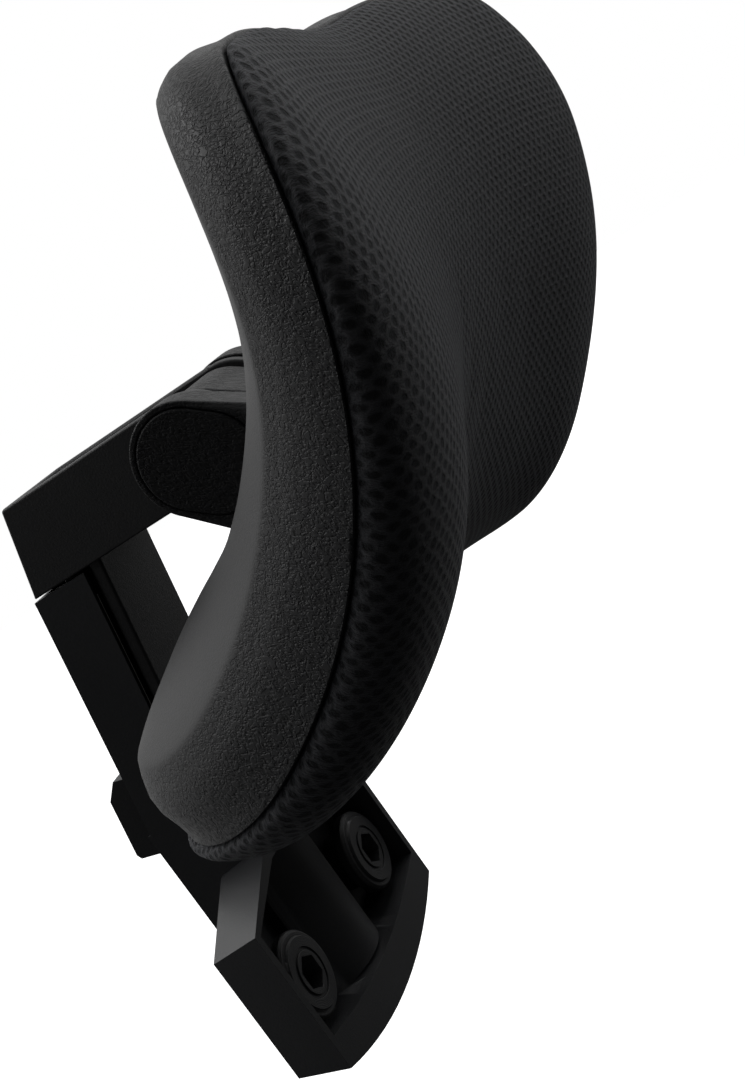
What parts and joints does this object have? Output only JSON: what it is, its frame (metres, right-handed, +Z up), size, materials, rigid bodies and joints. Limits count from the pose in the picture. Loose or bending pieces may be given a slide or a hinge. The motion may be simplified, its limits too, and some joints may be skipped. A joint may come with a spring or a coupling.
{
  "type": "chair headrest attachment",
  "caption": "Padded neck rest on a tilting arm whose riser slides in a leaning sleeve, with a bolt-on base for the back of an office chair.",
  "frame": {"origin": "midway between the two mounting holes, on the plane of the base's front rim", "axes": "+X across the pad to the right seen from the front, +Y towards the back of the base, +Z up the base"},
  "size_m": [0.2688, 0.1887, 0.2296],
  "materials": {
    "base_plastic": "fine satin moulded black",
    "insert_plastic": "turned dark grey, concentric steps",
    "lever_plastic": "satin black",
    "arm_plastic": "spark-textured matte black",
    "shell_plastic": "leather-grain matte black",
    "board_plastic": "plain moulded",
    "nylon": "natural nylon",
    "steel": "zinc plated",
    "friction_disc": "pressed friction fibre",
    "foam": "open-cell polyurethane foam",
    "mesh_fabric": "black spacer mesh with oval openings"
  },
  "bodies": {
    "base": {"base_housing": "base_plastic", "mounting_insert_left": "insert_plastic", "mounting_insert_right": "insert_plastic", "sleeve_liner_left": "nylon", "sleeve_liner_right": "nylon", "lever_pin": "steel", "lever_spring": "steel", "stop_screw": "steel"},
    "lever": {"height_lever": "lever_plastic"},
    "riser": {"riser_arm": "arm_plastic", "rack_strip": "steel", "rack_screws": "steel", "pivot_bush_left": "nylon", "pivot_bush_right": "nylon"},
    "pad": {"back_shell": "shell_plastic", "pad_board": "board_plastic", "board_clips": "nylon", "foam_pad": "foam", "mesh_cover": "mesh_fabric", "cover_staples": "steel", "pivot_bolt": "steel", "pivot_nut": "steel", "friction_washers": "friction_disc", "spring_washers": "steel", "hinge_cover_left": "shell_plastic", "hinge_cover_right": "shell_plastic"}
  },
  "joints": [
    {"name": "height_slide", "type": "slide", "parent": "base", "child": "riser", "axis": [0, -0.1994, 0.9799], "range_m": [0, 0.045]},
    {"name": "pad_tilt", "type": "hinge", "parent": "riser", "child": "pad", "pos_m": [0, -0.052, 0.1315], "axis": [1, 0, 0], "range_deg": [-35, 8]},
    {"name": "lever_press", "type": "hinge", "parent": "base", "child": "lever", "pos_m": [0, 0.02424, 0.05391], "axis": [1, 0, 0], "range_deg": [-10, 0], "stiffness_Nm_per_rad": 0.3, "springref_deg": 5.73}
  ]
}
